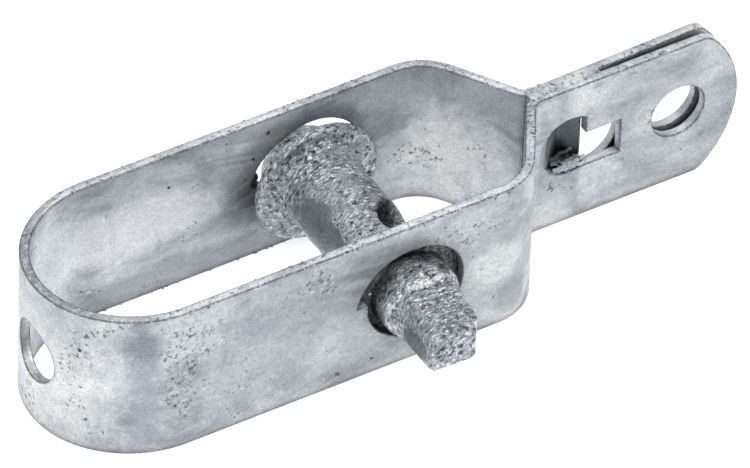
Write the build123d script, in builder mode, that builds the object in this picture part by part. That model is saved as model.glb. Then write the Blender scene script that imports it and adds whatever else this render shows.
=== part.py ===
from build123d import *
from math import cos, radians, sin, sqrt, tan
import os

# In-line fence wire tensioner: one folded steel strip and one ratchet spindle.
# Millimetres. The origin is the centre of the wire eye in the rounded nose,
# on the strip's middle surface. X runs to the tail, Z is up across the strip.
# The walls stand at plus and minus Y, and the square head is on the minus Y side.

# Folded strip
strip_width = 25.0
strip_thickness = 1.5
loop_width = 31.0
shoulder_radius = 17.0
shoulder_turn = 45.0
wall_length = 56.0
wall_corner_radius = 9.0
converge_angle = 57.7
throat_radius = 1.5

# Tail: the two ends of the strip lie together and spread a little
seam_gap = 0.2
splay_angle = 1.6
crevice_fill = 1.3
seam_fill_length = 10.8
tail_end_radius = 16.6
tail_corner_round = 3.0

# Holes for the wire
eye_radius = 4.7
tail_hole_radius = 4.4
tail_hole_to_end = 10.0
tail_punch_rise = 0.4
window_to_tail_hole = 9.8

# Clinch: a round tab lanced from the near plate and pressed into a valley
throat_to_clinch = 6.1
clinch_radius = 5.0
clinch_height = 1.7
tab_root_run = 4.5
tab_lip_run = 2.65
tab_depth = 3.5
tab_rise = 1.9
tab_root_round = 2.0
tab_valley_round = 0.6
valley_offset = 0.1
window_start = 1.9
window_length = 6.5
window_height = 6.0
far_hole_radius = 5.0
far_hole_offset = 2.25

# Spindle bearings: a round hole with a ratchet lobe that ends on a flat ledge
eye_to_bearing = 52.5
bearing_rise = 0.1
bearing_radius = 7.8
lobe_growth = 0.75
lobe_shift_x = 1.0
lobe_shift_z = 0.7
ledge_height = 0.65
far_bearing_growth = 0.5
far_bearing_shift = 0.3
far_bearing_rise = 0.35

# Spindle casting, which lies low in its loose bearings and a little towards the nose
spindle_sag = 0.3
spindle_set_back = 0.3
shaft_radius = 6.2
journal_radius = 6.1
flange_radius = 9.95
flange_thickness = 1.5
waist_cove = 1.8
rim_bevel = 0.4
end_bevel = 0.6
near_float = 0.3
far_float = 1.7
near_overhang = 2.9
far_overhang = 1.8

# Ratchet teeth on both journals
tooth_count = 2
tooth_clearance = 0.2
tooth_tip_angle = 120.0
tooth_face_angle = 12.0
tooth_back_angle = 55.0
tooth_overhang = 1.2
tooth_root_depth = 0.3

# Cross hole that takes the wire's end
wire_hole_radius = 3.2
wire_hole_bore = 3.0
wire_hole_draft = 23.0
wire_hole_angle = 43.0
wire_hole_to_flange = 5.9

# Square head for the key
head_length = 9.6
head_base = 8.6
head_blend = 1.2
head_blend_width = 9.8
head_blend_bevel = 2.6
head_tip_width = 7.6
head_tip_shift = -0.8
head_front_height = 6.7
head_front_rise = -0.15
head_rear_height = 8.3
head_rear_rise = 0.3
head_bevel = 0.7
head_end_bevel = 0.5

# Sizes that follow
half_width = strip_width / 2
half_loop = loop_width / 2
inner_wall = half_loop - strip_thickness
nose_x = -strip_thickness / 2

turn = radians(shoulder_turn)
shoulder_y = half_loop - shoulder_radius * (1 - cos(turn))
nose_radius = shoulder_y / sin(turn)
shoulder_x = nose_x + nose_radius * (1 - cos(turn))
wall_start = shoulder_x + shoulder_radius * sin(turn)
corner_x = wall_start + wall_length

plate_face = strip_thickness + seam_gap / 2
throat_x = corner_x + (half_loop - plate_face) / tan(radians(converge_angle))
throat_tangent = throat_x + throat_radius * tan(radians(converge_angle / 2))
clinch_x = throat_x + throat_to_clinch
window_x = clinch_x + window_start
tail_hole_x = window_x + window_length + window_to_tail_hole
tail_x = tail_hole_x + tail_hole_to_end
spread = tan(radians(splay_angle))
tail_arc_x = tail_x - tail_end_radius
upper_corner_x = tail_arc_x + sqrt(tail_end_radius**2 - (half_width - tail_punch_rise) ** 2)
lower_corner_x = tail_arc_x + sqrt(tail_end_radius**2 - (half_width + tail_punch_rise) ** 2)

near_flange_y = -inner_wall + near_float
far_flange_y = inner_wall - far_float
near_waist_y = near_flange_y + flange_thickness
far_waist_y = far_flange_y - flange_thickness
head_y = -half_loop - near_overhang
far_end_y = half_loop + far_overhang
wire_hole_y = near_waist_y + wire_hole_to_flange
cove_depth = waist_cove * (1 - cos(radians(45)))
mouth_height = shaft_radius + waist_cove / 2
wire_hole_mouth = wire_hole_radius + (mouth_height - wire_hole_bore / 2) * tan(radians(wire_hole_draft))
spindle_x = eye_to_bearing - spindle_set_back
spindle_z = bearing_rise - spindle_sag
tooth_radius = bearing_radius - sqrt(spindle_sag**2 + spindle_set_back**2) - tooth_clearance


def polar(radius, angle):
    """Point at a radius and an angle in degrees on a sketch."""
    return (radius * cos(radians(angle)), radius * sin(radians(angle)))


# Clinch: the near plate's round tab is pressed down into a valley and back up
valley_x = clinch_x - valley_offset
lip_x = valley_x + tab_lip_run
tab_line = [
    (clinch_x - 2 * clinch_radius, -plate_face),
    (valley_x - tab_root_run, -plate_face),
    (valley_x, tab_depth - plate_face),
    (lip_x, tab_depth - tab_rise - plate_face),
]
with BuildPart() as clinch_disc:
    with BuildSketch(Plane.XZ):
        with Locations((clinch_x, clinch_height)):
            Circle(clinch_radius)
    extrude(amount=half_loop, both=True)

with BuildPart() as tab:
    with BuildSketch() as tab_section:
        with BuildLine():
            FilletPolyline(*tab_line, radius=[tab_root_round, tab_valley_round])
            offset(amount=strip_thickness, side=Side.LEFT)
        make_face()
    extrude(amount=half_width, both=True)
    add(clinch_disc.part, mode=Mode.INTERSECT)

with BuildPart() as valley:
    with BuildSketch() as valley_section:
        with BuildLine():
            surface = FilletPolyline(*tab_line, radius=[tab_root_round, tab_valley_round])
            Polyline(surface @ 1, (lip_x, -half_loop), (tab_line[0][0], -half_loop), surface @ 0)
        make_face()
    extrude(amount=half_width, both=True)
    add(clinch_disc.part, mode=Mode.INTERSECT)


# The folded strip, drawn in plan along its outer face and thickened inwards
beyond_tail = tail_x + strip_thickness
with BuildPart() as frame:
    with BuildSketch() as plan:
        with BuildLine() as nose:
            near_shoulder = JernArc(
                start=(wall_start, -half_loop),
                tangent=(-1, 0),
                radius=shoulder_radius,
                arc_size=-shoulder_turn,
            )
            front = JernArc(
                start=near_shoulder @ 1,
                tangent=near_shoulder % 1,
                radius=nose_radius,
                arc_size=-2 * shoulder_turn,
            )
            JernArc(
                start=front @ 1,
                tangent=front % 1,
                radius=shoulder_radius,
                arc_size=-shoulder_turn,
            )
            offset(amount=strip_thickness, side=Side.RIGHT)
        make_face()
        with BuildLine() as near_side:
            FilletPolyline(
                (wall_start, -half_loop),
                (corner_x, -half_loop),
                (throat_x, -plate_face),
                (beyond_tail, -plate_face),
                radius=[wall_corner_radius, throat_radius],
            )
            offset(amount=strip_thickness, side=Side.LEFT)
        make_face()
        with BuildLine() as far_side:
            FilletPolyline(
                (wall_start, half_loop),
                (corner_x, half_loop),
                (throat_x, plate_face),
                (beyond_tail, plate_face + spread * (beyond_tail - throat_x)),
                radius=[wall_corner_radius, throat_radius],
            )
            offset(amount=strip_thickness, side=Side.RIGHT)
        make_face()
        # Zinc closes the seam from the throat to past the clinch
        with Locations((throat_tangent - crevice_fill, 0)):
            Rectangle(
                crevice_fill + seam_fill_length,
                2 * plate_face - strip_thickness,
                align=(Align.MIN, Align.CENTER),
            )
    extrude(amount=half_width, both=True)

    # Seen from the side, the two strip ends are cut to one arc
    with BuildSketch(Plane.XZ) as side_view:
        with BuildLine():
            end_arc = ThreePointArc(
                (upper_corner_x, half_width), (tail_x, tail_punch_rise), (lower_corner_x, -half_width)
            )
            Polyline(
                end_arc @ 1,
                (-loop_width, -half_width),
                (-loop_width, half_width),
                end_arc @ 0,
            )
        make_face()
        fillet(vertices().sort_by(Axis.X)[-2:], tail_corner_round)
    extrude(amount=half_loop, both=True, mode=Mode.INTERSECT)

    # Wire eye through the nose
    with BuildSketch(Plane.YZ) as eye:
        Circle(eye_radius)
    extrude(amount=2 * strip_thickness, both=True, mode=Mode.SUBTRACT)

    # Bearing hole with its ratchet lobe, through both walls
    with BuildSketch(Plane.XZ) as bearing:
        with Locations((eye_to_bearing - lobe_shift_x, bearing_rise - lobe_shift_z)):
            Circle(bearing_radius + lobe_growth)
        with Locations((eye_to_bearing, bearing_rise + ledge_height)):
            Rectangle(
                strip_width,
                strip_width,
                align=(Align.MAX, Align.MIN),
                mode=Mode.INTERSECT,
            )
        with Locations((eye_to_bearing, bearing_rise)):
            Circle(bearing_radius)
    extrude(amount=loop_width, both=True, mode=Mode.SUBTRACT)

    # The far wall's hole is a little wider and higher than the near one
    with BuildSketch(Plane.XZ) as far_bearing:
        with Locations((eye_to_bearing + far_bearing_shift, bearing_rise + far_bearing_rise)):
            Circle(bearing_radius + far_bearing_growth)
    extrude(amount=-loop_width, mode=Mode.SUBTRACT)

    # Tail hole through both plates
    with BuildSketch(Plane.XZ) as tail_hole:
        with Locations((tail_hole_x, tail_punch_rise)):
            Circle(tail_hole_radius)
    extrude(amount=half_loop, both=True, mode=Mode.SUBTRACT)

    # Window in the near plate, round hole in the far plate
    with BuildSketch(Plane.XZ.offset(-seam_gap / 2)) as window:
        with Locations((window_x, 0)):
            Rectangle(window_length, window_height, align=(Align.MIN, Align.CENTER))
    extrude(amount=half_loop, mode=Mode.SUBTRACT)
    with BuildSketch(Plane.XZ.offset(seam_gap / 2)) as far_hole:
        with Locations((window_x + far_hole_offset, 0)):
            Circle(far_hole_radius)
    extrude(amount=-half_loop, mode=Mode.SUBTRACT)

    add(valley.part, mode=Mode.SUBTRACT)
    add(tab.part)
frame.part.label = "frame"


# One ratchet tooth about the spindle's axis, as seen from the head's side:
# a long back that rises to the tip and a steep face that drops on the ledge
with BuildSketch() as tooth:
    with BuildLine():
        heel = polar(journal_radius - tooth_root_depth, tooth_tip_angle - tooth_back_angle)
        back = ThreePointArc(
            heel,
            polar((journal_radius + tooth_radius) / 2, tooth_tip_angle - tooth_back_angle / 2),
            polar(tooth_radius, tooth_tip_angle),
        )
        toe = polar(journal_radius - tooth_root_depth, tooth_tip_angle + tooth_face_angle)
        Polyline(back @ 1, toe, (0, 0), heel)
    make_face()

# Plane of the wire hole: its Y runs along the hole and its X along the spindle
hole_x, hole_z = polar(1, wire_hole_angle)
wire_hole_plane = Plane(
    origin=(spindle_x, wire_hole_y, spindle_z),
    x_dir=(0, 1, 0),
    z_dir=(hole_z, 0, -hole_x),
)

# Corners of the square head about the spindle's axis. The worn tip is lower in front.
half_base = head_base / 2
tip_front = head_tip_shift - head_tip_width / 2
tip_rear = head_tip_shift + head_tip_width / 2
base_corners = [
    (-half_base, -half_base),
    (half_base, -half_base),
    (half_base, half_base),
    (-half_base, half_base),
]
tip_corners = [
    (tip_front, head_front_rise - head_front_height / 2),
    (tip_rear, head_rear_rise - head_rear_height / 2),
    (tip_rear, head_rear_rise + head_rear_height / 2),
    (tip_front, head_front_rise + head_front_height / 2),
]

# The spindle casting: one turned form, teeth, a cross hole and the square head
with BuildPart() as spindle:
    with BuildSketch(Plane(origin=(spindle_x, 0, spindle_z))) as profile:
        with BuildLine():
            Polyline(
                (0, far_end_y),
                (journal_radius - end_bevel, far_end_y),
                (journal_radius, far_end_y - end_bevel),
                (journal_radius, far_flange_y),
                (flange_radius - rim_bevel, far_flange_y),
                (flange_radius, far_flange_y - rim_bevel),
                (flange_radius, far_waist_y + rim_bevel),
                (flange_radius - rim_bevel, far_waist_y),
                (shaft_radius + waist_cove, far_waist_y),
                (shaft_radius + cove_depth, far_waist_y - cove_depth),
                (shaft_radius, far_waist_y - waist_cove),
                (shaft_radius, near_waist_y + waist_cove),
                (shaft_radius + cove_depth, near_waist_y + cove_depth),
                (shaft_radius + waist_cove, near_waist_y),
                (flange_radius - rim_bevel, near_waist_y),
                (flange_radius, near_waist_y - rim_bevel),
                (flange_radius, near_flange_y + rim_bevel),
                (flange_radius - rim_bevel, near_flange_y),
                (journal_radius, near_flange_y),
                (journal_radius, head_y + end_bevel),
                (journal_radius - end_bevel, head_y),
                (0, head_y),
                close=True,
            )
        make_face()
    revolve(axis=Axis((spindle_x, 0, spindle_z), (0, 1, 0)))

    # Wire hole across the shaft, drafted from a short bore to a wide mouth each side
    with BuildSketch(wire_hole_plane) as wire_hole:
        with BuildLine():
            Polyline(
                (0, 0),
                (wire_hole_radius, 0),
                (wire_hole_radius, wire_hole_bore / 2),
                (wire_hole_mouth, mouth_height),
                (wire_hole_mouth, flange_radius),
                (0, flange_radius),
                close=True,
            )
        make_face()
        mirror(about=Plane.XZ)
    revolve(axis=Axis(wire_hole_plane.origin, wire_hole_plane.y_dir), mode=Mode.SUBTRACT)

    # Ratchet teeth from each flange to just past its wall
    for root_y, tooth_end_y in (
        (near_flange_y, -half_loop - tooth_overhang),
        (far_flange_y, half_loop + tooth_overhang),
    ):
        with BuildSketch(Plane.XZ.offset(-root_y)):
            with Locations((spindle_x, spindle_z)):
                with PolarLocations(0, tooth_count):
                    add(tooth.sketch)
        extrude(amount=root_y - tooth_end_y)

    # Square head, blended out of the journal and drafted towards its tip
    with BuildSketch(Plane.XZ.offset(-head_y)):
        with Locations((spindle_x, spindle_z)):
            Rectangle(head_blend_width, head_blend_width)
        chamfer(vertices(), head_blend_bevel)
    with BuildSketch(Plane.XZ.offset(head_blend - head_y)):
        with Locations((spindle_x, spindle_z)):
            Rectangle(head_base, head_base)
        chamfer(vertices(), head_bevel)
    loft(ruled=True)
    for reach, corners in ((head_blend, base_corners), (head_length, tip_corners)):
        with BuildSketch(Plane.XZ.offset(reach - head_y)):
            with Locations((spindle_x, spindle_z)):
                Polygon(*corners, align=None)
            chamfer(vertices(), head_bevel)
    loft(ruled=True)
    chamfer(faces().sort_by(Axis.Y)[0].edges(), head_end_bevel)
spindle.part.label = "spindle"

os.makedirs("parts", exist_ok=True)
export_step(frame.part, "parts/frame.step")
export_step(spindle.part, "parts/spindle.step")
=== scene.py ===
"""Looks of a fence wire tensioner in hot-dip galvanised steel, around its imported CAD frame.

The folded strip and the cast ratchet spindle get rounded, zinc-coated surfaces that stand
for their CAD nodes. Lengths in this script are millimetres and Blender's are metres.
"""
import logging
import math
from collections.abc import Mapping
from dataclasses import dataclass
from enum import Enum

import bmesh
import bpy
from mathutils import Matrix, Vector, noise


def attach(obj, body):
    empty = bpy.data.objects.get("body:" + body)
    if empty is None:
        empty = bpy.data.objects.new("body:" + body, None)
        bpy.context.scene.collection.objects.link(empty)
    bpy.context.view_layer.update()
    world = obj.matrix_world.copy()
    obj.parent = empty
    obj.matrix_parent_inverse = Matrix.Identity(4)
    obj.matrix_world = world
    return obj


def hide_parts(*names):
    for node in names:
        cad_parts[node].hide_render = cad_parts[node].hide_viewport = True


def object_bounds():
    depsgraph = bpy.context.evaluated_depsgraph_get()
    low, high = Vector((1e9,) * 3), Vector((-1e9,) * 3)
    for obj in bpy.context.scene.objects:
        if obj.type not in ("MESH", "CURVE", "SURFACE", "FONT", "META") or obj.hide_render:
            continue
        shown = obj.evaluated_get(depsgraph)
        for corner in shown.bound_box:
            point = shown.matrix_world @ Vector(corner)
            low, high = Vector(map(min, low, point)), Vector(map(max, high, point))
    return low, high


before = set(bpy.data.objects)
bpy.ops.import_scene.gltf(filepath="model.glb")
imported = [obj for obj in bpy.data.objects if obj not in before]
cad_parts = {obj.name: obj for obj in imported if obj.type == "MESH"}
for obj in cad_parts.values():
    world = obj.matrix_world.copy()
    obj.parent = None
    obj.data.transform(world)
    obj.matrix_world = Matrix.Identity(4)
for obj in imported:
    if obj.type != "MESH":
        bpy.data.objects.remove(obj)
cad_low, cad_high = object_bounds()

MM = 0.001
# The colour of painted shade in corners and in dark zones
PAINTED_SHADE = "#15191a"
WHITE = "#ffffff"

# CAD corners closer than this, in mm, are one corner, and faces that meet at less than
# this angle, in degrees, are one face
MERGE_DISTANCE = 0.002
FLAT_ANGLE = 0.6

# Degrees between the points of an arc
ARC_STEP = 5.0

# Places of the Mix and Random Value nodes' sockets, whose names repeat, and the names of
# the Map Range node's
FACTOR, FLOAT_A, FLOAT_B, COLOUR_A, COLOUR_B, COLOUR_OUT = 0, 2, 3, 6, 7, 2
VECTOR_MIN, VECTOR_MAX, FLOAT_MIN, FLOAT_MAX, FLOAT_OUT = 0, 1, 2, 3, 1
SPAN_SOCKETS = ("Value", "From Min", "From Max", "To Min", "To Max")

Pair = tuple[float, float]
Triple = tuple[float, float, float]
Socket = bpy.types.NodeSocket
Tree = bpy.types.NodeTree
Mesh = bpy.types.Mesh
Piece = bpy.types.Object

logging.basicConfig(level=logging.INFO, format="%(name)s: %(message)s")
log = logging.getLogger("wire_tensioner")


class Body(Enum):
    """The two bodies that the spindle's joint parts."""

    STRIP = "frame"
    SPINDLE = "spindle"


class Slot(Enum):
    """The record's material slots."""

    STRIP = "galvanised_strip"
    CASTING = "galvanised_casting"


def linear(colour: str) -> tuple[float, float, float, float]:
    """Turns an sRGB hex colour into linear RGBA.

    Args:
        colour: Six hex digits after a hash sign.

    Returns:
        The linear colour with full alpha.
    """
    channels = (int(colour[i : i + 2], 16) / 255 for i in (1, 3, 5))
    # The sRGB curve, which is straight in its darks and a power above them
    values = [c / 12.92 if c <= 0.04045 else ((c + 0.055) / 1.055) ** 2.4 for c in channels]
    return (values[0], values[1], values[2], 1.0)


def per_mm(size: float) -> float:
    """Returns the texture scale, in cycles a metre, of a pattern that is size mm wide."""
    return 1 / (size * MM)


def spans(value: Socket, start: Pair, end: Pair) -> dict[str, object]:
    """Returns the inputs that carry a value over from the span start to the span end."""
    return dict(zip(SPAN_SOCKETS, (value, *start, *end)))


def add_node(
    tree: Tree,
    kind: str,
    settings: Mapping[str, object] | None = None,
    inputs: Mapping[str | int, object] | None = None,
) -> bpy.types.Node:
    """Adds a node with its settings and inputs.

    Args:
        tree: The node tree that takes the node.
        kind: The node's type name.
        settings: Attributes to set on the node.
        inputs: Values or sockets to put on its inputs, by name or index.

    Returns:
        The new node.
    """
    node = tree.nodes.new(kind)
    for name, value in (settings or {}).items():
        setattr(node, name, value)
    for name, value in (inputs or {}).items():
        if isinstance(value, Socket):
            tree.links.new(value, node.inputs[name])
        else:
            node.inputs[name].default_value = value
    return node


@dataclass(frozen=True)
class ToneZone:
    """An ellipsoid, in mm, in which the zinc takes a colour of its own.

    The colour is a tone, painted light or painted shade, as each zone's comment says. The
    border frays by fray and fades over fade, both as shares of the radii.
    """

    centre: Triple
    radii: Triple
    share: float
    colour: str = PAINTED_SHADE
    fray: float = 0.5
    fade: float = 0.3


Zones = tuple[ToneZone, ...]


@dataclass(frozen=True)
class Fibres:
    """A noise whose grains have a length, a width and a direction.

    size is a grain's size along each axis in mm, turn its turn about each axis in radians,
    detail the number of finer octaves in it, bend how far it is bent about, and falloff
    how strong each finer octave is beside the one before.
    """

    size: Triple
    turn: Triple = (0.0, 0.0, 0.0)
    detail: float = 3.0
    bend: float = 0.0
    falloff: float = 0.62

    def height(self, tree: Tree, place: Socket) -> Socket:
        """Adds the noise to a material.

        Args:
            tree: The material's node tree.
            place: Object coordinates.

        Returns:
            The noise's height, about 0.5.
        """
        turned = add_node(
            tree,
            "ShaderNodeMapping",
            inputs={
                "Vector": place,
                "Rotation": self.turn,
                "Scale": tuple(per_mm(length) for length in self.size),
            },
        )
        fibre = add_node(
            tree,
            "ShaderNodeTexNoise",
            inputs={
                "Vector": turned.outputs[0],
                "Scale": 1.0,
                "Detail": self.detail,
                "Roughness": self.falloff,
                "Distortion": self.bend,
            },
        )
        return fibre.outputs[0]


@dataclass(frozen=True)
class ZincFinish:
    """Hot-dip zinc, weathered to a satin grey. Its defaults are those of rolled strip.

    Cloudy patches and wiped streaks come from mixed crystal in the coat, and crusts of grit
    from dross, whose crests carry painted highlights and whose hollows carry painted shade.
    Pits are dark specks under a millimetre wide, and painted shade darkens the corners and
    the worn edges. Sizes are real ones in millimetres, apart from the grain, the hairlines
    and the grit: the real ones are finer than the seven pixels a millimetre of the render
    show, so they are drawn as coarse as they need to show.
    """

    name: str

    # Greys of the coat, from the painted highlights on its crests to the painted shade in its
    # corners, and the heights of the clouds at which it is dull, body, pale and bright. The
    # brightest grey is both the palest cloud and the crests' painted highlight
    bright: str = "#e6e9ec"
    pale: str = "#d2d6d9"
    body: str = "#bbc1c7"
    dull: str = "#a0a7ae"
    # The dark grey of the pits, also used as painted shade in the grit's hollows and along the
    # worn edges
    tint: str = "#3f4749"
    # The colour of the painted shade in the corners
    corner_shade_colour: str = PAINTED_SHADE
    tone_stops: tuple[float, float, float, float] = (0.38, 0.47, 0.57, 0.68)

    # Clouds: patches of crystal, with streaks where the zinc ran off and hairline scratches
    patch: Fibres = Fibres((13.0, 13.0, 13.0), detail=5.0, bend=1.2)
    streak: Fibres = Fibres((15.0, 5.0, 5.0), (0.0, 0.42, 0.0), bend=0.8)
    streak_border: Pair = (0.45, 0.55)
    streak_height: Pair = (0.42, 0.58)
    streak_share: float = 0.35
    hairline: Fibres = Fibres((9.0, 0.35, 0.35), (0.0, -0.25, 0.0), 2.0, 0.5)
    hairline_share: float = 0.05

    # Crusts of dross, and the rough cut edges, which start this far from the strip's middle
    crust: Fibres = Fibres((9.0, 9.0, 9.0), (0.4, 0.3, 0.2), 5.0, 0.8)
    crust_start: float = 0.54
    crust_border: float = 0.10
    crust_zones: Zones = ()
    cut_edge: float | None = 12.3
    cut_edge_border: float = 0.15
    cut_edge_share: float = 0.8

    # Grit in the crusts: painted highlights on its crests, painted shade in its hollows, and the
    # smooth zinc between
    grit: Fibres = Fibres((0.7, 0.7, 0.7), bend=0.4)
    crest_highlight: Pair = (0.55, 0.63)
    crest_highlight_share: float = 0.55
    hollow_shade: Pair = (0.45, 0.37)
    hollow_shade_share: float = 0.80
    smooth: str = "#59646a"
    smooth_crust: Pair = (0.6, 0.0)
    smooth_share: float = 0.0

    # Grain and mottling, which shade the colour by these shares over this span of height
    grain: Fibres = Fibres((0.34, 0.34, 0.34))
    grain_contrast: float = 0.19
    mottle: Fibres = Fibres((1.6, 1.1, 1.1), (0.0, 0.5, 0.0), bend=1.0)
    mottling: float = 0.09
    shade_span: Pair = (0.30, 0.70)

    # Pits, in a share of cells this wide, with outlines that a wobble makes uneven
    pit_cell: float = 2.3
    pit_share: float = 0.16
    pit_width: float = 0.15
    pit_rim: Pair = (-0.02, 0.04)
    wobble: float = 0.7
    wobble_reach: float = 0.9

    # Painted light, painted shade and tones in zones, and painted shade along the worn edges and
    # in the corners
    zones: Zones = ()
    painted_shade_zones: Zones = ()
    fray: Fibres = Fibres((3.0, 3.0, 3.0), detail=5.0, bend=0.6)
    edge_share: Pair = (0.75, 0.1)
    edge_break: Pair = (0.45, 0.75)
    corner_reach: float = 2.2
    corner_share: float = 0.9
    corner_open: Pair = (0.72, 0.25)
    corner_rays: int = 12

    # Typical values for satin zinc, matched to the object: a dull film of weathered zinc
    # hides part of the metal, so metallic is under 1. gloss is the roughness of the dullest
    # and of the brightest clouds.
    metallic: float = 0.55
    gloss: Pair = (0.58, 0.38)
    gloss_span: Pair = (0.35, 0.65)

    # Relief: slow waves where the coat froze, then grain and grit
    wave: Fibres = Fibres((5.0, 2.8, 2.8), (0.0, 0.3, 0.0), bend=0.6)
    wave_depth: float = 0.16
    grain_depth: float = 0.035
    grit_relief: float = 5.0

    def material(self) -> bpy.types.Material:
        """Builds the finish.

        Returns:
            The new material.
        """
        material = bpy.data.materials.new(self.name)
        material.use_nodes = True
        tree = material.node_tree
        tree.nodes.clear()
        place = add_node(tree, "ShaderNodeTexCoord").outputs["Object"]
        fray = self.fray.height(tree, place)
        clouds = self.clouds(tree, place)
        crusts = self.crusts(tree, place, fray)
        grain = self.grain.height(tree, place)
        pits = self.pits(tree, place)
        grit = self.grit_height(tree, place, crusts)

        colour = self.tone(tree, clouds)
        if self.smooth_share:
            bare = self.share_between(tree, crusts, *self.smooth_crust, self.smooth_share)
            colour = self.tint_by(tree, colour, bare, self.smooth)
        colour = self.paint(tree, colour, place, fray, self.zones)
        colour = self.shade_by(tree, colour, grain, self.grain_contrast)
        colour = self.shade_by(tree, colour, self.mottle.height(tree, place), self.mottling)
        # Painted shade in the grit's hollows, then painted highlights on its crests
        hollow_shade = self.share_between(tree, grit, *self.hollow_shade, self.hollow_shade_share)
        colour = self.tint_by(tree, colour, hollow_shade, self.tint)
        crest_highlight = self.share_between(tree, grit, *self.crest_highlight, self.crest_highlight_share)
        colour = self.tint_by(tree, colour, crest_highlight, self.bright)
        # Zones of painted shade, over the crests' highlights
        colour = self.paint(tree, colour, place, fray, self.painted_shade_zones)
        colour = self.tint_by(tree, colour, pits, self.tint)
        # Painted shade along the worn edges
        colour = self.tint_by(tree, colour, self.edge_shade_line(tree, grain), self.tint)
        # Painted shade in the corners, from ambient occlusion
        colour = self.tint_by(tree, colour, self.painted_corner_shade(tree), self.corner_shade_colour)

        gloss = add_node(
            tree, "ShaderNodeMapRange", inputs=spans(clouds, self.gloss_span, self.gloss)
        )
        shader = add_node(
            tree,
            "ShaderNodeBsdfPrincipled",
            inputs={
                "Base Color": colour,
                "Metallic": self.metallic,
                "Roughness": gloss.outputs[0],
                "Normal": self.relief(tree, place, grain, grit, pits),
            },
        )
        add_node(tree, "ShaderNodeOutputMaterial", inputs={"Surface": shader.outputs[0]})
        return material

    def clouds(self, tree: Tree, place: Socket) -> Socket:
        """Mixes cloudy patches with wiped streaks and hairlines.

        Args:
            tree: The material's node tree.
            place: Object coordinates.

        Returns:
            A height about 0.5 that is high where the zinc is pale and bright.
        """
        run = add_node(
            tree,
            "ShaderNodeMapRange",
            {"interpolation_type": "SMOOTHSTEP"},
            spans(self.streak.height(tree, place), self.streak_border, self.streak_height),
        )
        mixed = add_node(
            tree,
            "ShaderNodeMix",
            {"data_type": "FLOAT"},
            {
                FACTOR: self.streak_share,
                FLOAT_A: self.patch.height(tree, place),
                FLOAT_B: run.outputs[0],
            },
        )
        lined = add_node(
            tree,
            "ShaderNodeMix",
            {"data_type": "FLOAT"},
            {
                FACTOR: self.hairline_share,
                FLOAT_A: mixed.outputs[0],
                FLOAT_B: self.hairline.height(tree, place),
            },
        )
        return lined.outputs[0]

    def tone(self, tree: Tree, clouds: Socket) -> Socket:
        """Turns the clouds' height to the zinc's greys.

        Args:
            tree: The material's node tree.
            clouds: Height of the clouds.

        Returns:
            The colour.
        """
        ramp = add_node(tree, "ShaderNodeValToRGB", inputs={0: clouds})
        stops = ramp.color_ramp.elements
        dull, body, pale, bright = self.tone_stops
        stops[0].position, stops[0].color = dull, linear(self.dull)
        stops[1].position, stops[1].color = bright, linear(self.bright)
        for position, tone in ((body, self.body), (pale, self.pale)):
            stops.new(position).color = linear(tone)
        return ramp.outputs[0]

    def share_between(
        self, tree: Tree, value: Socket, start: float, end: float, share: float
    ) -> Socket:
        """Turns a value to a share that grows from 0 at start to share at end.

        Args:
            tree: The material's node tree.
            value: The value.
            start: Where the share is 0.
            end: Where it is full, above or below start.
            share: The full share.

        Returns:
            The share.
        """
        ends = ((start, end), (0.0, share)) if start < end else ((end, start), (share, 0.0))
        return add_node(tree, "ShaderNodeMapRange", inputs=spans(value, *ends)).outputs[0]

    def paint(
        self, tree: Tree, colour: Socket, place: Socket, fray: Socket, zones: Zones
    ) -> Socket:
        """Gives each zone its colour, a tone, painted light or painted shade, the later ones over
        the earlier ones.

        Args:
            tree: The material's node tree.
            colour: The colour so far.
            place: Object coordinates.
            fray: A height that frays the zones' borders.
            zones: The zones.

        Returns:
            The painted colour.
        """
        for zone in zones:
            share = self.zone_share(tree, place, fray, zone)
            colour = self.tint_by(tree, colour, share, zone.colour)
        return colour

    def crusts(self, tree: Tree, place: Socket, fray: Socket) -> Socket:
        """Says where there is a gritty crust: in patches, in its zones and on the cut edges.

        Args:
            tree: The material's node tree.
            place: Object coordinates.
            fray: A height that frays the zones' borders.

        Returns:
            The crust's share, from 0 to 1.
        """
        dross = self.crust.height(tree, place)
        for zone in self.crust_zones:
            more = add_node(
                tree,
                "ShaderNodeMath",
                {"operation": "ADD"},
                {0: dross, 1: self.zone_share(tree, place, fray, zone)},
            )
            dross = more.outputs[0]
        full = self.crust_start + self.crust_border
        crust = self.share_between(tree, dross, self.crust_start, full, 1.0)
        if self.cut_edge is None:
            return crust
        along = add_node(tree, "ShaderNodeSeparateXYZ", inputs={0: place})
        height = add_node(
            tree, "ShaderNodeMath", {"operation": "ABSOLUTE"}, {0: along.outputs["Z"]}
        )
        start, end = self.cut_edge * MM, (self.cut_edge + self.cut_edge_border) * MM
        rough = self.share_between(tree, height.outputs[0], start, end, self.cut_edge_share)
        both = add_node(tree, "ShaderNodeMath", {"operation": "MAXIMUM"}, {0: crust, 1: rough})
        return both.outputs[0]

    def grit_height(self, tree: Tree, place: Socket, crusts: Socket) -> Socket:
        """Adds the grit of the crusts.

        Args:
            tree: The material's node tree.
            place: Object coordinates.
            crusts: Where the crusts are.

        Returns:
            A height that is 0.5 outside the crusts.
        """
        masked = add_node(
            tree,
            "ShaderNodeMix",
            {"data_type": "FLOAT"},
            {FACTOR: crusts, FLOAT_A: 0.5, FLOAT_B: self.grit.height(tree, place)},
        )
        return masked.outputs[0]

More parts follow.
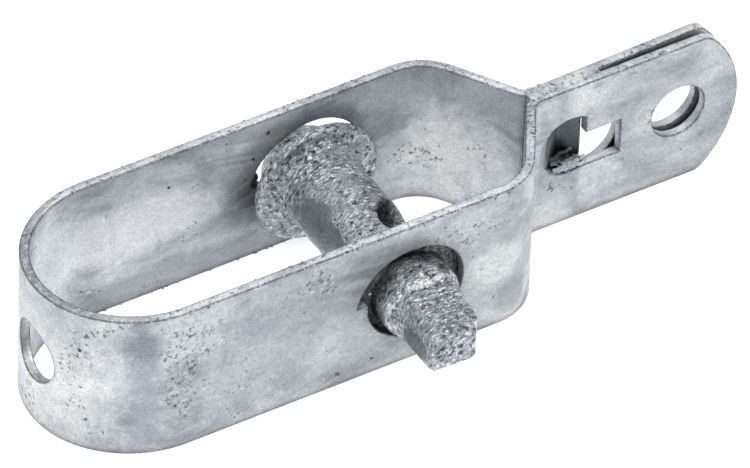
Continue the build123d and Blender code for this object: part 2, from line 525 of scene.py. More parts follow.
    def pits(self, tree: Tree, place: Socket) -> Socket:
        """Adds small dark pits of uneven size, a few in each square centimetre.

        Args:
            tree: The material's node tree.
            place: Object coordinates.

        Returns:
            1 in the pits and 0 elsewhere.
        """
        wobble = add_node(
            tree, "ShaderNodeTexNoise", inputs={"Vector": place, "Scale": per_mm(self.wobble)}
        )
        shifted = add_node(
            tree,
            "ShaderNodeVectorMath",
            {"operation": "MULTIPLY_ADD"},
            {0: wobble.outputs["Color"], 1: (self.wobble_reach * MM,) * 3, 2: place},
        )
        cells = add_node(
            tree,
            "ShaderNodeTexVoronoi",
            inputs={"Vector": shifted.outputs[0], "Scale": per_mm(self.pit_cell)},
        )
        draw = add_node(tree, "ShaderNodeSeparateColor", inputs={0: cells.outputs["Color"]})
        width = self.share_between(tree, draw.outputs[0], self.pit_share, 0.0, self.pit_width)
        depth = add_node(
            tree,
            "ShaderNodeMath",
            {"operation": "SUBTRACT"},
            {0: width, 1: cells.outputs["Distance"]},
        )
        return self.share_between(tree, depth.outputs[0], *self.pit_rim, 1.0)

    def edge_shade_line(self, tree: Tree, grain: Socket) -> Socket:
        """Breaks up the line of painted shade that follows each worn edge.

        Args:
            tree: The material's node tree.
            grain: Height of the grain.

        Returns:
            The line's share, from 0 to 1.
        """
        edge = add_node(tree, "ShaderNodeAttribute", {"attribute_name": "edge"})
        patchy = add_node(
            tree, "ShaderNodeMapRange", inputs=spans(grain, self.edge_break, self.edge_share)
        )
        line = add_node(
            tree,
            "ShaderNodeMath",
            {"operation": "MULTIPLY"},
            {0: edge.outputs["Fac"], 1: patchy.outputs[0]},
        )
        return line.outputs[0]

    def zone_share(self, tree: Tree, place: Socket, fray: Socket, zone: ToneZone) -> Socket:
        """Fills a zone, with a frayed border.

        Args:
            tree: The material's node tree.
            place: Object coordinates.
            fray: A height that frays the border.
            zone: The zone.

        Returns:
            The zone's share, from 0 to 1.
        """
        offset = add_node(
            tree,
            "ShaderNodeVectorMath",
            {"operation": "SUBTRACT"},
            {0: place, 1: tuple(c * MM for c in zone.centre)},
        )
        scaled = add_node(
            tree,
            "ShaderNodeVectorMath",
            {"operation": "DIVIDE"},
            {0: offset.outputs[0], 1: tuple(r * MM for r in zone.radii)},
        )
        reach = add_node(
            tree, "ShaderNodeVectorMath", {"operation": "LENGTH"}, {0: scaled.outputs[0]}
        )
        frayed = add_node(
            tree,
            "ShaderNodeMath",
            {"operation": "MULTIPLY_ADD"},
            {0: fray, 1: zone.fray, 2: reach.outputs["Value"]},
        )
        border = 1 + zone.fray / 2
        inner = border - zone.fade
        return self.share_between(tree, frayed.outputs[0], border, inner, zone.share)

    def painted_corner_shade(self, tree: Tree) -> Socket:
        """Paints shade where two faces come close together, from ambient occlusion.

        Args:
            tree: The material's node tree.

        Returns:
            The soot's share, from 0 to 1.
        """
        corner = add_node(
            tree,
            "ShaderNodeAmbientOcclusion",
            {"samples": self.corner_rays},
            {"Distance": self.corner_reach * MM},
        )
        return self.share_between(
            tree, corner.outputs["AO"], *self.corner_open, self.corner_share
        )

    def shade_by(self, tree: Tree, colour: Socket, height: Socket, contrast: float) -> Socket:
        """Makes a colour darker in the hollows of a height and lighter on its tops.

        Args:
            tree: The material's node tree.
            colour: The colour so far.
            height: A height about 0.5.
            contrast: How much darker and lighter it gets, as a share.

        Returns:
            The shaded colour.
        """
        ends = (1 - contrast, 1 + contrast)
        factor = add_node(
            tree, "ShaderNodeMapRange", inputs=spans(height, self.shade_span, ends)
        )
        shaded = add_node(
            tree,
            "ShaderNodeMix",
            {"data_type": "RGBA", "blend_type": "MULTIPLY"},
            {FACTOR: 1.0, COLOUR_A: colour, COLOUR_B: factor.outputs[0]},
        )
        return shaded.outputs[COLOUR_OUT]

    def tint_by(self, tree: Tree, colour: Socket, share: Socket, tint: str) -> Socket:
        """Mixes a colour in: a stain, a tone, painted light or painted shade.

        Args:
            tree: The material's node tree.
            colour: The colour so far.
            share: Its share, from 0 to 1.
            tint: Its hex colour.

        Returns:
            The stained colour.
        """
        mixed = add_node(
            tree,
            "ShaderNodeMix",
            {"data_type": "RGBA"},
            {FACTOR: share, COLOUR_A: colour, COLOUR_B: linear(tint)},
        )
        return mixed.outputs[COLOUR_OUT]

    def relief(
        self, tree: Tree, place: Socket, grain: Socket, grit: Socket, pits: Socket
    ) -> Socket:
        """Raises the coat's slow waves, then its grain, grit and pits.

        Args:
            tree: The material's node tree.
            place: Object coordinates.
            grain: Height of the grain.
            grit: Height of the grit.
            pits: Where the pits are.

        Returns:
            The surface normal.
        """
        waves = add_node(
            tree,
            "ShaderNodeBump",
            inputs={
                "Height": self.wave.height(tree, place),
                "Distance": self.wave_depth * MM,
            },
        )
        rough = add_node(
            tree,
            "ShaderNodeMath",
            {"operation": "MULTIPLY_ADD"},
            {0: grit, 1: self.grit_relief, 2: grain},
        )
        sunk = add_node(
            tree, "ShaderNodeMath", {"operation": "SUBTRACT"}, {0: rough.outputs[0], 1: pits}
        )
        relief = add_node(
            tree,
            "ShaderNodeBump",
            inputs={
                "Height": sunk.outputs[0],
                "Distance": self.grain_depth * MM,
                "Normal": waves.outputs[0],
            },
        )
        return relief.outputs[0]


def take_solid(node: str) -> Mesh:
    """Copies a CAD node's mesh as one closed skin in millimetres.

    Args:
        node: Name of the CAD node.

    Returns:
        A mesh of merged, flat-dissolved faces.
    """
    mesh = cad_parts[node].data.copy()
    mesh.materials.clear()
    mesh.transform(Matrix.Scale(1 / MM, 4))
    work = bmesh.new()
    work.from_mesh(mesh)
    bmesh.ops.remove_doubles(work, verts=work.verts, dist=MERGE_DISTANCE)
    bmesh.ops.dissolve_limit(
        work, angle_limit=math.radians(FLAT_ANGLE), verts=work.verts, edges=work.edges
    )
    work.to_mesh(mesh)
    work.free()
    return mesh


def settle(piece: Piece) -> Piece:
    """Applies a piece's modifiers and brings its mesh from millimetres to metres.

    Args:
        piece: A piece whose mesh is in millimetres.

    Returns:
        The same piece, with a plain mesh.
    """
    graph = bpy.context.evaluated_depsgraph_get()
    mesh = bpy.data.meshes.new_from_object(piece.evaluated_get(graph))
    piece.modifiers.clear()
    old = piece.data
    piece.data = mesh
    bpy.data.meshes.remove(old)
    mesh.name = piece.name
    mesh.transform(Matrix.Scale(MM, 4))
    mesh.shade_smooth()
    return piece


def mark_edges(mesh: Mesh) -> None:
    """Writes 1 to the edge attribute of the bevelled faces, which are in the second slot.

    Args:
        mesh: A bevelled mesh.
    """
    edge = mesh.attributes.new("edge", "FLOAT", "FACE")
    for face in mesh.polygons:
        edge.data[face.index].value = float(face.material_index)
        face.material_index = 0


def new_piece(name: str, mesh: Mesh) -> Piece:
    """Puts a mesh in the scene.

    Args:
        name: The piece's name.
        mesh: Its mesh.

    Returns:
        The new piece.
    """
    piece = bpy.data.objects.new(name, mesh)
    bpy.context.scene.collection.objects.link(piece)
    return piece


def hand_over(piece: Piece, body: Body, node: str | None = None) -> None:
    """Fixes a finished piece to its body, hides the CAD node it stands for, and reports it.

    Args:
        piece: The finished piece.
        body: The body that carries it.
        node: The CAD node that it stands for, if any.
    """
    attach(piece, body.value)
    if node:
        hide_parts(node)
    log.info("%s: %d faces on %s", piece.name, len(piece.data.polygons), body.value)


@dataclass
class FoldedStrip:
    """The folded strip: its edges are worn round and filled by the zinc."""

    finish: ZincFinish
    # The bevel's width in mm and its steps, and the angle in degrees from which it is cut
    edge_width: float = 0.22
    edge_steps: int = 3
    edge_angle: float = 24.0
    # Corners of a box round the clinch's rim, where the throat leaves no room for the bevel
    rim_low: Triple = (80.9, -3.0, -7.0)
    rim_high: Triple = (82.9, 4.0, 7.5)

    def build(self) -> Piece:
        """Makes the strip's rounded skin.

        Returns:
            The finished piece.
        """
        piece = new_piece("folded_strip", take_solid("frame"))
        self.weigh_edges(piece.data)
        bevel = piece.modifiers.new("worn edges", "BEVEL")
        bevel.width = self.edge_width
        bevel.segments = self.edge_steps
        bevel.limit_method = "WEIGHT"
        bevel.harden_normals = True
        bevel.use_clamp_overlap = False
        bevel.material = 1
        # Two empty slots, so that the bevel's faces carry the second one's number
        for _ in range(2):
            piece.data.materials.append(None)
        settle(piece)
        mark_edges(piece.data)
        piece.data.materials.clear()
        piece.data.materials.append(self.finish.material())
        hand_over(piece, Body.STRIP, "frame")
        return piece

    def weigh_edges(self, mesh: Mesh) -> None:
        """Marks the sharp edges for the bevel, except at the clinch's rim by the throat.

        Args:
            mesh: The strip's mesh, in millimetres.
        """
        work = bmesh.new()
        work.from_mesh(mesh)
        weight = work.edges.layers.float.new("bevel_weight_edge")
        sharp = math.radians(self.edge_angle)
        for edge in work.edges:
            if len(edge.link_faces) != 2 or edge.calc_face_angle() < sharp:
                continue
            middle = (edge.verts[0].co + edge.verts[1].co) / 2
            at_rim = all(
                low < place < high
                for low, place, high in zip(self.rim_low, middle, self.rim_high)
            )
            edge[weight] = 0.0 if at_rim else 1.0
        work.to_mesh(mesh)
        work.free()


@dataclass(frozen=True)
class BeadRun:
    """A line, in mm, along which the dip has left beads of zinc.

    size is the largest bead's radius, spread how far a bead may lie from the line, and
    cover the share of the places along it that have a bead.
    """

    line: tuple[Triple, ...]
    size: float
    spread: float
    cover: float


def arc(centre: Triple, radius: float, turns: Pair, flat: bool) -> tuple[Triple, ...]:
    """Lays points on an arc.

    Args:
        centre: The arc's centre, in mm.
        radius: Its radius, in mm.
        turns: Its first and last angle in degrees, from +X towards +Y or +Z.
        flat: True for an arc in the XY plane and False for one in the XZ plane.

    Returns:
        The points, about ARC_STEP apart.
    """
    steps = max(2, round(abs(turns[1] - turns[0]) / ARC_STEP))
    points = []
    for i in range(steps + 1):
        angle = math.radians(turns[0] + (turns[1] - turns[0]) * i / steps)
        side, rise = radius * math.cos(angle), radius * math.sin(angle)
        x, y, z = centre
        points.append((x + side, y + rise, z) if flat else (x + side, y, z + rise))
    return tuple(points)


@dataclass
class ZincBeads:
    """Beads or lumps of zinc, which Geometry Nodes set along runs from one seed.

    spacing is the distance between places for a bead, drift how a bead's shift is shared
    among the axes, and flattest and fullest its least and greatest shape. With ball_cuts 1
    a bead has 20 faces, few enough for hundreds of them. Lumps are merged into one skin by
    merge_voxel, so they start rounder.
    """

    name: str
    finish: ZincFinish
    runs: tuple[BeadRun, ...]
    spacing: float = 0.42
    seed: int = 7
    ball_cuts: int = 1
    merge_voxel: float = 0.0
    merge_smoothing: int = 3
    drift: Triple = (1.0, 1.0, 0.3)
    flattest: Triple = (0.45, 0.4, 0.4)
    fullest: Triple = (1.1, 0.9, 0.9)

    def build(self) -> Piece:
        """Makes the beads, merged into one skin where merge_voxel is set.

        Returns:
            The finished piece.
        """
        piece = new_piece(self.name, self.guides())
        modifier = piece.modifiers.new("beads on runs", "NODES")
        modifier.node_group = self.tree()
        material = bpy.data.materials[self.finish.name]
        values = {"Spacing": self.spacing, "Seed": self.seed, "Finish": material}
        for item in modifier.node_group.interface.items_tree:
            if item.name in values and item.in_out == "INPUT":
                modifier[item.identifier] = values[item.name]
        if self.merge_voxel:
            remesh = piece.modifiers.new("one skin", "REMESH")
            remesh.mode = "VOXEL"
            remesh.voxel_size = self.merge_voxel
            smooth = piece.modifiers.new("run together", "SMOOTH")
            smooth.iterations = self.merge_smoothing
        settle(piece)
        piece.data.materials.clear()
        piece.data.materials.append(material)
        hand_over(piece, Body.STRIP)
        return piece

    def guides(self) -> Mesh:
        """Makes a mesh of the runs' lines, with each run's sizes on its points.

        Returns:
            The mesh, in millimetres.
        """
        points, edges = [], []
        sizes = {"size": [], "spread": [], "cover": []}
        for run in self.runs:
            first = len(points)
            points += run.line
            edges += [(i, i + 1) for i in range(first, len(points) - 1)]
            for name, values in sizes.items():
                values += [getattr(run, name)] * len(run.line)
        mesh = bpy.data.meshes.new("zinc_runs")
        mesh.from_pydata(points, edges, [])
        for name, values in sizes.items():
            mesh.attributes.new(name, "FLOAT", "POINT").data.foreach_set("value", values)
        return mesh

    def tree(self) -> Tree:
        """Builds the tree that sets flattened balls along the runs.

        Returns:
            The node tree.
        """
        tree = bpy.data.node_groups.new("beads_on_runs", "GeometryNodeTree")
        tree.is_modifier = True
        face = tree.interface
        kinds = {"Geometry": "Geometry", "Spacing": "Float", "Seed": "Int", "Finish": "Material"}
        for name, kind in kinds.items():
            face.new_socket(name, in_out="INPUT", socket_type="NodeSocket" + kind)
        face.new_socket("Geometry", in_out="OUTPUT", socket_type="NodeSocketGeometry")
        given = add_node(tree, "NodeGroupInput").outputs
        size, spread, cover = (
            add_node(
                tree, "GeometryNodeInputNamedAttribute", {"data_type": "FLOAT"}, {"Name": name}
            ).outputs[0]
            for name in ("size", "spread", "cover")
        )
        curves = add_node(tree, "GeometryNodeMeshToCurve", inputs={0: given["Geometry"]})
        places = add_node(
            tree,
            "GeometryNodeResampleCurve",
            {"mode": "LENGTH"},
            {"Curve": curves.outputs[0], "Length": given["Spacing"]},
        )
        # Each draw has a seed of its own, counted up from the piece's seed
        later, last = (
            add_node(
                tree, "FunctionNodeIntegerMath", {"operation": "ADD"}, {0: given["Seed"], 1: more}
            ).outputs[0]
            for more in (1, 2)
        )
        drift = add_node(
            tree,
            "FunctionNodeRandomValue",
            {"data_type": "FLOAT_VECTOR"},
            {
                VECTOR_MIN: tuple(-most for most in self.drift),
                VECTOR_MAX: self.drift,
                "Seed": given["Seed"],
            },
        )
        offset = add_node(
            tree,
            "ShaderNodeVectorMath",
            {"operation": "SCALE"},
            {0: drift.outputs[0], "Scale": spread},
        )
        moved = add_node(
            tree,
            "GeometryNodeSetPosition",
            inputs={"Geometry": places.outputs[0], "Offset": offset.outputs[0]},
        )
        chance = add_node(
            tree,
            "FunctionNodeRandomValue",
            {"data_type": "FLOAT"},
            {FLOAT_MIN: 0.0, FLOAT_MAX: 1.0, "Seed": later},
        )
        bare = add_node(
            tree,
            "FunctionNodeCompare",
            {"data_type": "FLOAT", "operation": "GREATER_THAN"},
            {0: chance.outputs[FLOAT_OUT], 1: cover},
        )
        kept = add_node(
            tree,
            "GeometryNodeDeleteGeometry",
            {"domain": "POINT"},
            {"Geometry": moved.outputs[0], "Selection": bare.outputs[0]},
        )
        ball = add_node(
            tree,
            "GeometryNodeMeshIcoSphere",
            inputs={"Radius": 1.0, "Subdivisions": self.ball_cuts},
        )
        shape = add_node(
            tree,
            "FunctionNodeRandomValue",
            {"data_type": "FLOAT_VECTOR"},
            {VECTOR_MIN: self.flattest, VECTOR_MAX: self.fullest, "Seed": last},
        )
        scale = add_node(
            tree,
            "ShaderNodeVectorMath",
            {"operation": "SCALE"},
            {0: shape.outputs[0], "Scale": size},
        )
        beads = add_node(
            tree,
            "GeometryNodeInstanceOnPoints",
            inputs={
                "Points": kept.outputs[0],
                "Instance": ball.outputs[0],
                "Scale": scale.outputs[0],
            },
        )
        real = add_node(tree, "GeometryNodeRealizeInstances", inputs={0: beads.outputs[0]})
        dressed = add_node(
            tree,
            "GeometryNodeSetMaterial",
            inputs={"Geometry": real.outputs[0], "Material": given["Finish"]},
        )
        add_node(tree, "NodeGroupOutput", inputs={0: dressed.outputs[0]})
        return tree


# Beads along the cut edges, the bends, the throat and the near bearing hole's lower rim
EDGE_RUNS = (
    BeadRun(((16.0, -15.45, 12.4), (66.0, -15.45, 12.4)), 0.26, 0.16, 0.28),
    BeadRun(((18.0, -14.1, 12.45), (66.0, -14.1, 12.45)), 0.22, 0.12, 0.22),
    BeadRun(((44.0, -15.4, 12.0), (70.0, -15.4, 12.0)), 0.28, 0.40, 0.22),
    BeadRun(((16.0, 14.05, -12.4), (66.0, 14.05, -12.4)), 0.24, 0.12, 0.30),
    BeadRun(((18.0, 15.4, 12.45), (66.0, 15.4, 12.45)), 0.20, 0.12, 0.22),
    BeadRun(arc((66.67, -6.5, 12.4), 8.9, (-90, -32), True), 0.28, 0.16, 0.5),
    BeadRun(arc((66.67, 6.5, 12.4), 8.9, (90, 32), True), 0.20, 0.12, 0.2),
    BeadRun(((74.0, -10.9, 12.45), (80.6, -0.9, 12.45)), 0.24, 0.60, 0.9),
    BeadRun(((73.6, -10.6, 12.45), (79.9, -0.9, 12.45)), 0.22, 0.60, 0.9),
    BeadRun(((80.2, -1.2, 12.4), (82.2, -0.9, 12.45), (84.6, 0.0, 12.45)), 0.42, 0.40, 0.8),
    BeadRun(((80.6, 1.6, 12.4), (82.4, 1.3, 12.45), (84.0, 1.1, 12.4)), 0.48, 0.30, 0.7),
    BeadRun(arc((52.5, -15.4, 0.1), 8.0, (160, 300), False), 0.30, 0.16, 0.35),
)

# Lumps at the clinch's lower lip, on the far bearing's ledge and at the tail's end
LUMP_RUNS = (
    BeadRun(((84.0, -1.35, -2.9), (88.9, -1.35, -2.6)), 0.42, 0.28, 1.0),
    BeadRun(((84.4, -1.0, -2.4), (88.7, -1.0, -2.0)), 0.46, 0.28, 1.0),
    BeadRun(((87.2, -1.3, -2.3), (88.8, -1.3, -1.2)), 0.42, 0.28, 1.0),
    BeadRun(((84.6, -0.3, -2.2), (88.4, -0.3, -1.9)), 0.55, 0.25, 1.0),
    BeadRun(((85.6, 0.5, -2.3), (87.7, 0.8, -2.6)), 0.62, 0.20, 1.0),
    BeadRun(((84.2, 0.5, -1.6), (88.3, 0.8, -1.3)), 0.60, 0.25, 1.0),
    BeadRun(((43.4, 14.6, 0.0), (44.0, 14.6, 2.2)), 0.60, 0.18, 1.0),
    BeadRun(((112.6, -1.5, -6.7), (112.8, -1.0, -6.4)), 0.40, 0.08, 1.0),
)


@dataclass
class CastSpindle:
    """The spindle: a zinc-coated casting with soft edges and a rippled, grainy skin.

    voxel is the skin's mesh size in mm, and smoothing and pull round its edges. The ripple's
    size and depth are in mm, and its octaves are each finer and weaker than the last.
    """

    finish: ZincFinish
    voxel: float = 0.2
    smoothing: int = 5
    pull: float = 0.5
    ripple_size: Triple = (1.1, 0.55, 1.1)
    ripple_depth: float = 0.055
    ripple_falloff: float = 0.8
    ripple_finer: float = 2.0
    ripple_octaves: int = 3

    def build(self) -> Piece:
        """Makes the spindle's cast skin.

        Returns:
            The finished piece.
        """
        piece = new_piece("cast_spindle", take_solid("spindle"))
        remesh = piece.modifiers.new("cast skin", "REMESH")
        remesh.mode = "VOXEL"
        remesh.voxel_size = self.voxel
        smooth = piece.modifiers.new("soft edges", "SMOOTH")
        smooth.factor = self.pull
        smooth.iterations = self.smoothing
        settle(piece)
        self.ripple(piece.data)
        piece.data.materials.append(self.finish.material())
        hand_over(piece, Body.SPINDLE, "spindle")
        return piece

    def ripple(self, mesh: Mesh) -> None:
        """Moves the skin in and out along its normals, as cast zinc ripples.

        Args:
            mesh: The spindle's mesh, in metres.
        """
        moved = []
        scale = Vector([per_mm(size) for size in self.ripple_size])
        octaves = (self.ripple_falloff, self.ripple_finer, self.ripple_octaves)
        for vertex in mesh.vertices:
            height = noise.fractal(vertex.co * scale, *octaves)
            moved.extend(vertex.co + vertex.normal * (height * self.ripple_depth * MM))
        mesh.vertices.foreach_set("co", moved)
        mesh.update()


@dataclass(frozen=True)
class Softbox:
    """A square soft lamp: its centre and side are in mm, and its power is in watts."""

    name: str
    place: Triple
    side: float
    power: float


@dataclass
class Studio:
    """A pale floor, soft lamps and a long lens at the photograph's angle.

    Angles are in degrees and lengths in mm. The floor glows just enough to be white to the
    camera, and the room goes from dim to bright, by level, over the share rise of its height.
    """

    azimuth: float = -32.228
    elevation: float = 42.215
    roll: float = 2.021
    distance: float = 1653.3
    aim: Triple = (51.63, -5.63, 3.40)
    px_per_mm: float = 7.0948
    frame_px: int = 750
    sensor: float = 36.0
    far_clip: float = 10000.0
    paper: str = "#bcbcbc"
    paper_glow: float = 0.80
    floor_half: float = 6000.0
    floor_gap: float = 0.02
    rise: Pair = (0.0, 0.8)
    level: Pair = (0.18, 1.0)
    softboxes: tuple[Softbox, ...] = (
        Softbox("left_softbox", (-330.0, -310.0, 660.0), 220.0, 1.2),
        Softbox("right_softbox", (520.0, -280.0, 600.0), 220.0, 1.75),
        Softbox("rear_softbox", (57.0, 400.0, 620.0), 300.0, 0.6),
    )

    def build(self) -> None:
        """Makes the floor, the lamps, the world and the camera."""
        bpy.context.scene.view_settings.view_transform = "Standard"
        self.make_floor()
        self.make_world()
        self.make_camera()
        for box in self.softboxes:
            self.make_lamp(box)

    def make_floor(self) -> None:
        """Makes the floor, which is white to the camera and keeps a soft shadow."""
        half = self.floor_half * MM
        low = cad_low.z - self.floor_gap * MM
        mesh = bpy.data.meshes.new("floor")
        corners = [(-half, -half, low), (half, -half, low), (half, half, low), (-half, half, low)]
        mesh.from_pydata(corners, [], [(0, 1, 2, 3)])
        # Matt paper, which gives the eye a plain white ground with a soft grey shadow
        material = bpy.data.materials.new("white_paper")
        material.use_nodes = True
        tree = material.node_tree
        tree.nodes.clear()
        path = add_node(tree, "ShaderNodeLightPath")
        seen = add_node(
            tree,
            "ShaderNodeMath",
            {"operation": "MAXIMUM"},
            {0: path.outputs["Is Camera Ray"], 1: path.outputs["Is Glossy Ray"]},
        )
        paper = add_node(tree, "ShaderNodeBsdfDiffuse", inputs={"Color": linear(self.paper)})
        glow = add_node(
            tree,
            "ShaderNodeEmission",
            inputs={"Color": linear(WHITE), "Strength": self.paper_glow},
        )
        both = add_node(
            tree, "ShaderNodeAddShader", inputs={0: paper.outputs[0], 1: glow.outputs[0]}
        )
        shown = add_node(
            tree,
            "ShaderNodeMixShader",
            inputs={0: seen.outputs[0], 1: paper.outputs[0], 2: both.outputs[0]},
        )
        add_node(tree, "ShaderNodeOutputMaterial", inputs={"Surface": shown.outputs[0]})
        mesh.materials.append(material)
        new_piece("floor", mesh)

    def make_world(self) -> None:
        """Makes a plain pale world that is white to the camera."""
        world = bpy.data.worlds.new("pale_room")
        world.use_nodes = True
        tree = world.node_tree
        tree.nodes.clear()
        path = add_node(tree, "ShaderNodeLightPath")
        seen = add_node(
            tree,
            "ShaderNodeMath",
            {"operation": "MAXIMUM"},
            {0: path.outputs["Is Camera Ray"], 1: path.outputs["Is Transmission Ray"]},
        )
        sky = add_node(tree, "ShaderNodeTexCoord")
        height = add_node(tree, "ShaderNodeSeparateXYZ", inputs={0: sky.outputs["Generated"]})
        level = add_node(
            tree, "ShaderNodeMapRange", inputs=spans(height.outputs["Z"], self.rise, self.level)
        )
        room = add_node(
            tree,
            "ShaderNodeBackground",
            inputs={"Color": linear(WHITE), "Strength": level.outputs[0]},
        )
        white = add_node(tree, "ShaderNodeBackground", inputs={"Color": linear(WHITE)})
        mixed = add_node(
            tree,
            "ShaderNodeMixShader",
            inputs={0: seen.outputs[0], 1: room.outputs[0], 2: white.outputs[0]},
        )
        add_node(tree, "ShaderNodeOutputWorld", inputs={"Surface": mixed.outputs[0]})
        bpy.context.scene.world = world

    def make_lamp(self, box: Softbox) -> None:
        """Adds a soft lamp that faces the object.

        Args:
            box: The lamp's name, place, side and power.
        """
        light = bpy.data.lights.new(box.name, "AREA")
        light.size = box.side * MM
        light.energy = box.power
        lamp = bpy.data.objects.new(box.name, light)
        centre = (cad_low + cad_high) / 2
        lamp.location = Vector(box.place) * MM
        lamp.rotation_euler = (centre - lamp.location).to_track_quat("-Z", "Y").to_euler()
        bpy.context.scene.collection.objects.link(lamp)

    def make_camera(self) -> None:
        """Makes the camera, whose long lens looks down on the head's side."""
        lens = bpy.data.cameras.new("camera")
        lens.sensor_width = self.sensor
        lens.lens = self.sensor * self.px_per_mm * self.distance / self.frame_px
        lens.clip_end = self.far_clip * MM
        camera = bpy.data.objects.new("camera", lens)
        a, e, r = (math.radians(v) for v in (self.azimuth, self.elevation, self.roll))
        back = Vector((math.sin(a) * math.cos(e), -math.cos(a) * math.cos(e), math.sin(e)))
        level = Vector((math.cos(a), math.sin(a), 0))
        rise = back.cross(level)
        right = level * math.cos(r) + rise * math.sin(r)
        up = rise * math.cos(r) - level * math.sin(r)
        turn = Matrix((right, up, back)).transposed()
        place = (Vector(self.aim) + back * self.distance) * MM
        camera.matrix_world = Matrix.Translation(place) @ turn.to_4x4()
        bpy.context.scene.collection.objects.link(camera)
        bpy.context.scene.camera = camera


# Hot-dip zinc on rolled strip, which the rolls left flat and the dip coated unevenly: a
# satin grey with pale clouds, streaks along the strip and crusts of dross at its bends
STRIP_ZINC = ZincFinish(
    "hot_dip_zinc_on_rolled_strip",
    zones=(
        # The nose: painted light over its inner face and top, and grey where it bends into the
        # near wall
        ToneZone((2.0, 0.0, -1.0), (9.0, 17.0, 14.0), 0.85, "#f3f5f7", 0.9, 0.7),
        ToneZone((8.2, -15.5, 7.0), (4.2, 3.4, 7.5), 0.85, "#878f99", 0.9, 0.5),
        ToneZone((8.0, -15.5, -3.0), (4.0, 3.4, 13.0), 0.60, "#a3aab4", 0.9, 0.5),
        # Paler on the near wall, and painted light on the far wall's inner face and on the far
        # bend, which the near wall shades
        ToneZone((62.0, -15.0, 1.0), (10.0, 2.0, 12.0), 0.65, "#d3d7d9", 0.9, 0.6),
        ToneZone((28.0, -15.5, -3.0), (13.0, 1.5, 6.0), 0.35, "#d6d9db", 0.9, 0.4),
        ToneZone((22.0, 14.0, 1.0), (17.0, 1.5, 6.5), 0.80, "#f0f2f5", 0.9, 0.4),
        ToneZone((8.5, 11.5, 1.0), (9.0, 5.0, 12.0), 0.75, "#eff2f5", 0.9, 0.4),
        # Grey at the far wall's foot; painted shade round the far bearing, where the flange
        # shades the wall, darkest left of the hole; painted light on the throat's far inner face
        ToneZone((30.0, 14.0, -13.0), (27.0, 2.0, 6.5), 0.60, "#8d949a", 0.5, 0.25),
        ToneZone((42.5, 14.0, -2.0), (4.5, 1.5, 7.0), 0.60, "#5c6369", 0.9, 0.8),
        ToneZone((52.8, 14.0, 0.5), (15.0, 3.0, 12.0), 0.60, "#7d858d", 0.5, 0.6),
        ToneZone((74.0, 10.0, -2.0), (10.0, 11.0, 12.0), 0.80, "#f3f5f7", 1.4, 0.7),
        # Painted shade on the nose's top cut edge, which the overhead lamps light strongly, and
        # over the outsides of the near wall and the tail, down to the level of the loop's shaded
        # inside
        ToneZone((4.0, 0.0, 12.9), (14.0, 24.0, 0.7), 0.80, "#50575c", 0.5, 0.5),
        ToneZone((40.0, -15.6, 0.0), (38.0, 1.4, 16.0), 0.42, "#8b939b", 0.4, 0.5),
        ToneZone((106.0, -1.9, 0.0), (18.0, 1.2, 16.0), 0.30, "#8b939b", 0.4, 0.5),
        # Pale and grey patches on the near wall, beside its bearing hole
        ToneZone((42.0, -15.5, -5.0), (8.0, 1.5, 6.5), 0.55, "#dfe2e4", 0.9, 0.5),
        ToneZone((66.0, -15.3, -1.0), (5.5, 1.6, 4.5), 0.60, "#e6e9eb", 0.9, 0.4),
        ToneZone((68.6, -15.0, -7.8), (3.8, 1.8, 3.8), 0.55, "#979ea4", 0.9, 0.4),
        ToneZone((31.0, -15.5, 5.5), (9.0, 1.5, 6.0), 0.45, "#9aa2ac", 0.9, 0.4),
        # Painted shade in the eye, round the near bearing, in the tail's slit and by the far
        # ledge, where the flange shades the wall; in the window the clinched tab's dent is partly
        # its darker bare flank and partly painted shade
        ToneZone((0.0, 0.0, 0.0), (3.5, 5.3, 5.3), 0.65, "#2c3235", 0.3, 0.15),
        ToneZone((52.5, -14.9, 0.1), (9.2, 1.1, 9.2), 0.55),
        ToneZone((86.0, 1.3, 1.4), (5.6, 2.95, 6.4), 0.85, "#5a6468", 0.3, 0.15),
        ToneZone((85.4, 1.4, -1.2), (2.4, 2.6, 3.0), 0.75, "#1b1f21", 0.5, 0.3),
        ToneZone((101.5, 0.3, 3.0), (11.8, 0.52, 14.0), 0.95, "#0c0e0f", 0.1, 0.2),
        ToneZone((44.2, 14.7, 1.2), (1.8, 1.8, 1.8), 0.85),
    ),
    crust_zones=(
        # Dross on the nose, its bends, the walls' ends, the tail's corner and the throat
        ToneZone((1.8, -11.5, 0.0), (4.6, 7.0, 15.0), 0.17, fade=0.8),
        ToneZone((14.5, -15.5, 2.0), (6.0, 3.0, 14.0), 0.21, fade=0.8),
        ToneZone((66.0, 14.0, -3.0), (9.0, 6.0, 6.5), 0.12, fade=0.8),
        ToneZone((61.0, -15.5, 8.0), (7.0, 3.0, 5.0), 0.12, fade=0.8),
        ToneZone((107.5, -1.6, 10.3), (3.0, 1.2, 0.9), 0.20, fade=0.8),
        ToneZone((83.0, -1.6, 0.0), (1.6, 1.2, 13.0), 0.14, fade=0.8),
    ),
)

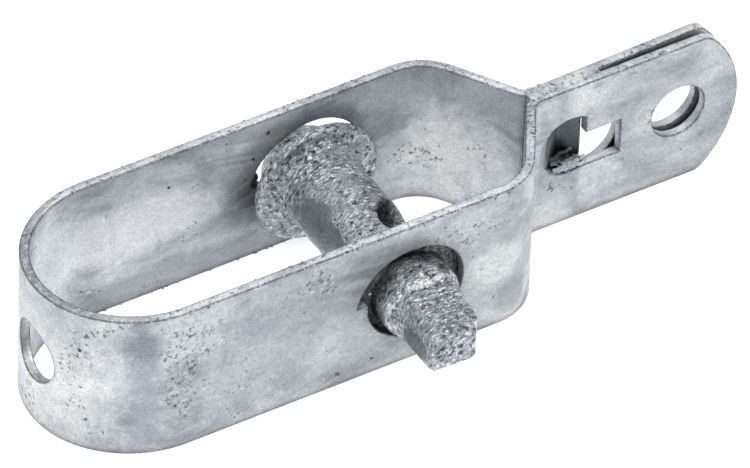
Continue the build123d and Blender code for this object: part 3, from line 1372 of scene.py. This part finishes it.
# Hot-dip zinc on a rough casting, which holds more of the bath: a darker and glossier grey,
# gritty all over, with smooth bare places on the shaft and the head, whose darker grey is
# partly painted shade, and painted shade in each corner
CASTING_ZINC = ZincFinish(
    "hot_dip_zinc_on_casting",
    bright="#f4f6f8",
    pale="#bfc6cb",
    body="#abb3b8",
    dull="#90989e",
    tint="#2c3235",
    smooth="#6a757a",
    smooth_share=0.75,
    crest_highlight_share=1.0,
    hollow_shade_share=0.95,
    patch=Fibres((7.0, 7.0, 7.0), detail=5.0, bend=1.2),
    streak=Fibres((7.0, 3.0, 7.0), bend=0.8),
    streak_share=0.2,
    hairline_share=0.0,
    crust=Fibres((6.0, 6.0, 6.0), (0.4, 0.3, 0.2), 5.0, 0.8),
    crust_start=0.31,
    cut_edge=None,
    grit=Fibres((0.78, 0.38, 0.78), bend=0.4),
    grain=Fibres((0.40, 0.28, 0.40)),
    grain_contrast=0.25,
    pit_cell=2.0,
    pit_share=0.05,
    metallic=0.80,
    gloss=(0.30, 0.18),
    grain_depth=0.26,
    grit_relief=2.2,
    wave_depth=0.06,
    corner_reach=3.5,
    zones=(
        # A painted highlight on the fillet at the head's root
        ToneZone((51.2, -18.8, 4.4), (4.2, 0.6, 1.8), 0.90, "#f4f6f8", 0.5, 0.3),
    ),
    painted_shade_zones=(
        # Painted shade in both mouths of the wire hole, on the journal inside the near bearing,
        # in the notch at the head's root and on the head's left side
        ToneZone((55.6, -5.5, 3.4), (4.4, 5.2, 4.8), 0.90, "#0f1213", 0.3, 0.25),
        ToneZone((48.8, -5.5, -3.8), (4.4, 5.2, 4.8), 0.90, "#0f1213", 0.3, 0.25),
        ToneZone((52.2, -15.0, -0.2), (9.5, 3.5, 9.5), 0.80, fray=0.9, fade=0.5),
        ToneZone((54.8, -17.4, 3.8), (2.2, 1.1, 1.9), 0.85, PAINTED_SHADE, 0.9, 0.4),
        ToneZone((47.2, -23.0, -0.5), (1.3, 5.5, 5.0), 0.25, "#3f474c", 0.9, 0.5),
    ),
    crust_zones=(
        # Smooth places on the shaft's and the head's left sides, whose darker grey is partly
        # painted shade, and grit on the head's end and root
        ToneZone((46.6, -1.5, 1.0), (2.2, 10.5, 4.2), -0.30, fade=0.5),
        ToneZone((52.0, -28.0, 0.0), (7.0, 2.5, 7.0), 0.16, fade=0.6),
        ToneZone((52.0, -19.5, 4.5), (4.0, 2.0, 1.5), 0.16, fade=0.6),
        ToneZone((47.7, -23.5, -1.6), (1.4, 4.6, 2.8), -0.30, fade=0.5),
    ),
)


def main() -> None:
    """Builds the studio and both sub-assemblies, and reports each piece."""
    Studio().build()
    FoldedStrip(STRIP_ZINC).build()
    ZincBeads("zinc_beads", STRIP_ZINC, EDGE_RUNS).build()
    ZincBeads(
        "zinc_lumps", STRIP_ZINC, LUMP_RUNS, spacing=0.3, ball_cuts=2, merge_voxel=0.13
    ).build()
    CastSpindle(CASTING_ZINC).build()


if __name__ == "__main__":
    main()
